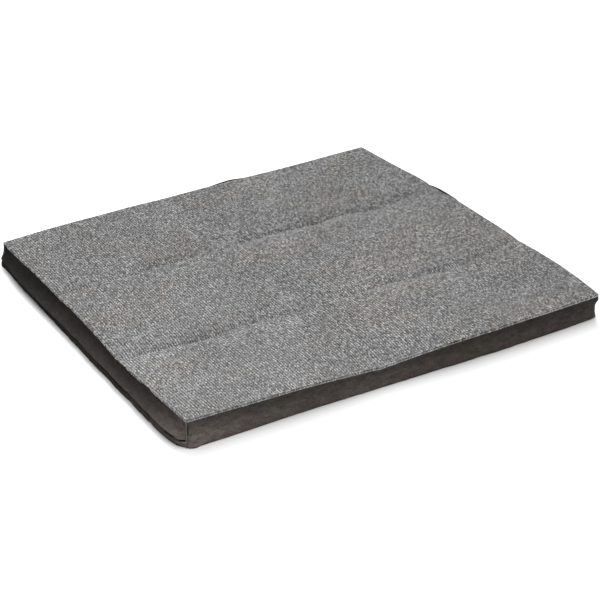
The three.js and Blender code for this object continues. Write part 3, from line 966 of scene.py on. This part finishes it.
def pull():
    """The pull: a rounded tab with an eye round the slider's bridge."""
    low, high = node_box("zip_pull")
    pivot = (low + high) / 2
    pivot[1] = node_box("zip_slider")[0][1] + PIVOT_AHEAD
    half_z, far, near = (high[2] - low[2]) / 2, low[1] - pivot[1], high[1] - pivot[1]
    eye_far, eye_near = near - EYE_RIM - EYE_LONG, near - EYE_RIM
    eye_y, n = (eye_far + eye_near) / 2, 96
    angle = np.arange(n) * 2 * math.pi / n

    def stadium(y0, y1, half, corner):
        """Distance from the eye's centre to a rounded rectangle's edge at each angle."""
        size = np.array([(y1 - y0) / 2 - corner, half - corner])[:, None]
        centre = np.array([(y0 + y1) / 2 - eye_y, 0])[:, None]
        ray = np.array([np.cos(angle), np.sin(angle)])
        short, long = np.zeros(n), np.full(n, 40.0)
        for _ in range(40):
            half_way = (short + long) / 2
            outside = np.clip(np.abs(ray * half_way - centre) - size, 0, None)
            inside = np.hypot(*outside) < corner
            short, long = np.where(inside, half_way, short), np.where(inside, long, half_way)
        return short

    outer = stadium(far, near, half_z, half_z * 0.96)
    inner = stadium(eye_far, eye_near, EYE_HALF, 0.6)
    thick, bevel = (high[0] - low[0]) / 2, 0.12
    rings = [(inner + bevel, -1), (inner, -0.6), (inner, 0.6), (inner + bevel, 1)]
    rings += [(outer - bevel, 1), (outer, 0.6), (outer, -0.6), (outer - bevel, -1)]
    points = []
    for radius, level in rings:
        yy, zz = radius * np.cos(angle) + eye_y, radius * np.sin(angle)
        points.append(np.column_stack([np.full(n, pivot[0] + level * thick), pivot[1] + yy, pivot[2] + zz]))
    points, faces = np.concatenate(points), bridges(n, [*range(len(rings)), 0])
    make("zip_pull_tab", points, faces, "pull", "zip_metal", ZIP_METAL, ["zip_pull"], sharp=35)


def zip_stop(name):
    """A metal stop crimped over both rows of teeth: a rounded clip with a waist."""
    low, high = node_box(name)
    centre, half = (low + high) / 2, (high - low) / 2
    k = np.linspace(0, 2 * math.pi, 40, endpoint=False)
    y, z = squared(np.cos(k), 0.5) * half[1], squared(np.sin(k), 0.4) * half[2]
    waist = 1 - 0.14 * bell(z, half[2] * 0.3)
    outline = np.column_stack([centre[1] + y * waist, centre[2] + z])
    points, faces = plate(outline, low[0], high[0], 0.35)
    make(name + "_clip", points, faces, "pad", "zip_metal", ZIP_METAL, [name], sharp=40)


# -------- the filling
def soften(points):
    """CAD points of the filling, moved as the soft cover moves."""
    x, y, z = points[..., 0], points[..., 1], points[..., 2]
    u, v = np.clip(x / WIDTH + 0.5, 0, 1), np.clip(0.5 - y / DEPTH, 0, 1)
    t = np.clip(z / HEIGHT, 0, 1)
    low_x, low_y = shift(BASE_SIDES, u, v)
    top_x, top_y = shift(TOP_SIDES, u, v)
    free = np.clip(z / 10 - 0.3, 0, 1)  # 0 up to 3 mm high, by the board, and 1 from 13 mm
    press = np.clip((z - STIFF_HIGH) / (TOP_LOW[2] - STIFF_HIGH), 0, 1)
    dx = np.clip(low_x, -STIFF_SHIFT, STIFF_SHIFT) * (1 - t) + top_x * t
    dy = np.clip(low_y, -STIFF_SHIFT, STIFF_SHIFT) * (1 - t) + top_y * t
    drop = (felt_height(u, v) - HEIGHT) * press
    return np.stack([x + dx * free, y + dy * free, z + drop], -1)


def slab(name, ending, slot, step=6.0, wave=0.0, seed=0):
    """A soft slab in a CAD node's place: rounded edges, and waves of the given height in its faces."""
    low, high = node_box(name)
    size = high - low
    r = min(size[2] / 2, 2.0, size[0] / 2.2, size[1] / 2.2)

    def places(a, b):
        ends = np.array([0, 0.15, 0.4, 0.7, 1]) * r
        between = np.linspace(a + r, b - r, max(3, round((b - a) / step)))[1:-1]
        return np.concatenate([a + ends, between, b - ends[::-1]])

    xx, yy = np.meshgrid(places(low[0], high[0]), places(low[1], high[1])[::-1])
    ex = np.minimum(xx - low[0], high[0] - xx)
    ey = np.minimum(yy - low[1], high[1] - yy)
    near = np.clip(np.minimum(ex, ey) / r, 0, 1)
    half = size[2] / 2 * (0.25 + 0.75 * np.sqrt(1 - (1 - near) ** 2))
    middle = (low[2] + high[2]) / 2 + wave * noise(xx, yy, 24, seed)
    top = np.stack([xx, yy, middle + half], -1)
    under = np.stack([xx, yy, middle - half], -1)
    points, faces = sheet_solid(soften(top), soften(under))
    return make(name + ending, points, faces, "pad", slot, HIDDEN[slot], [name])


def cooling_pack(name):
    """A sealed film pouch full of gel: flat sealed margins and a crown with shallow dimples."""
    low, high = node_box(name)
    size, centre = high - low, (low + high) / 2
    p = np.concatenate([[-1, -0.995], np.linspace(-0.985, 0.985, 52), [0.995, 1]])
    xx, yy = np.meshgrid(p, -p)
    x, y = centre[0] + xx * size[0] / 2, centre[1] + yy * size[1] / 2
    margin = np.minimum((1 - np.abs(xx)) * size[0] / 2, (1 - np.abs(yy)) * size[1] / 2)
    filled = np.clip((margin - PACK_SEAL) / PACK_SHOULDER, 0, 1)
    crown = np.sqrt(1 - (1 - filled) ** 2)
    dimples = 1 - 0.10 * np.sin(x / 9.5) ** 2 * np.sin(y / 9.5) ** 2
    half = PACK_FILM + (size[2] / 2 - PACK_FILM) * crown * dimples
    ripple = 0.18 * noise(x, y, 7, 71) * (1 - filled)
    top = np.stack([x, y, centre[2] + half + ripple], -1)
    under = np.stack([x, y, centre[2] - half + ripple], -1)
    points, faces = sheet_solid(soften(top), soften(under))
    obj = make(name + "_pouch", points, faces, "pad", "pack_film", HIDDEN["pack_film"], [name])


def liner_strip(name):
    """One of the liner's strips, which part the pockets."""
    slab(name, "_strip", "liner_cloth", step=4)


def filling():
    """The board, the foam, the pocketed liner with its packs, and the foil, from the base up."""
    slab("stiffener_board", "_sheet", "board", step=12)
    foam = slab("foam_core", "_slab", "foam", wave=0.1, seed=81)
    laid_on = {"pocket_liner_bottom": foam.name, "pocket_liner_top": "cooling_pack_middle_right_pouch"}
    for node, under in laid_on.items():
        liner = slab(node, "_sheet", "liner_cloth", wave=0.06, seed=82)
    for row in ("back", "front"):
        liner_strip(f"row_divider_{row}")
    for row in ("back", "middle", "front"):
        liner_strip(f"column_divider_{row}")
        for column in ("left", "right"):
            cooling_pack(f"cooling_pack_{row}_{column}")
    slab("heat_spreader", "_foil", "foil", wave=0.03, seed=83)


filling()
felt_top()
for side_name in ("front", "right", "back"):
    border(side_name)
left_walls()
corner_seam("corner_seam_front_left", "left", 1)
corner_seam("corner_seam_front_right", "right", 1)
corner_seam("corner_seam_back_right", "right", 0)
corner_seam("corner_seam_back_left", "left", 0)
base_sheet()
zip_coil("zip_coil_upper")
zip_coil("zip_coil_lower")
slider()
pull()
zip_stop("zip_stop_front")
zip_stop("zip_stop_back")


# -------- stage
def stage():
    """A plain pale floor and a faint even light all round."""
    mesh = bpy.data.meshes.new("floor")
    far = FLOOR_HALF
    mesh.from_pydata([(-far, -far, 0), (far, -far, 0), (far, far, 0), (-far, far, 0)], [], [(0, 1, 2, 3)])
    floor = placed("floor", mesh)
    n = Nodes("floor")
    mesh.materials.append(n.finish((FLOOR_GREY, FLOOR_GREY, FLOOR_GREY, 1), 0.9, specular=0.1))
    world = bpy.data.worlds.new("studio")
    bpy.context.scene.world = world
    world.use_nodes = True
    background = world.node_tree.nodes["Background"]
    background.inputs[0].default_value = (1, 1, 1, 1)
    background.inputs[1].default_value = WORLD_STRENGTH


def sky_light(name, toward, spread, strength):
    """A broad, even light from far away, its disc spread degrees across."""
    data = bpy.data.lights.new(name, "SUN")
    data.energy = strength
    data.angle = math.radians(spread)
    light = placed(name, data)
    light.rotation_mode = "QUATERNION"
    light.rotation_quaternion = Vector(toward).to_track_quat("Z", "Y")


def camera():
    """The camera, where the photo's was."""
    azimuth, elevation = math.radians(CAMERA_AZIMUTH), math.radians(CAMERA_ELEVATION)
    distance = CAMERA_DISTANCE * WIDTH * MM
    aim = Vector((CAMERA_AIM[0] * WIDTH * MM, CAMERA_AIM[1] * WIDTH * MM, HEIGHT * MM / 2))
    level = math.cos(elevation)
    back = Vector((math.sin(azimuth) * level, -math.cos(azimuth) * level, math.sin(elevation)))
    data = bpy.data.cameras.new("camera")
    data.sensor_width, data.lens = 36.0, CAMERA_LENS
    data.clip_start, data.clip_end = 0.05, 50
    cam = placed("camera", data)
    cam.rotation_mode = "QUATERNION"
    cam.location = aim + back * distance
    cam.rotation_quaternion = (-back).to_track_quat("-Z", "Y")
    bpy.context.scene.camera = cam


stage()
camera()
sky_light("sky", (0.14, 0.34, 1.0), spread=72, strength=4.7)
sky_light("behind_right", (0.55, 1.3, 1.0), spread=20, strength=3.0)
bpy.context.scene.view_settings.view_transform = "Standard"
bpy.context.scene.view_settings.look = "None"
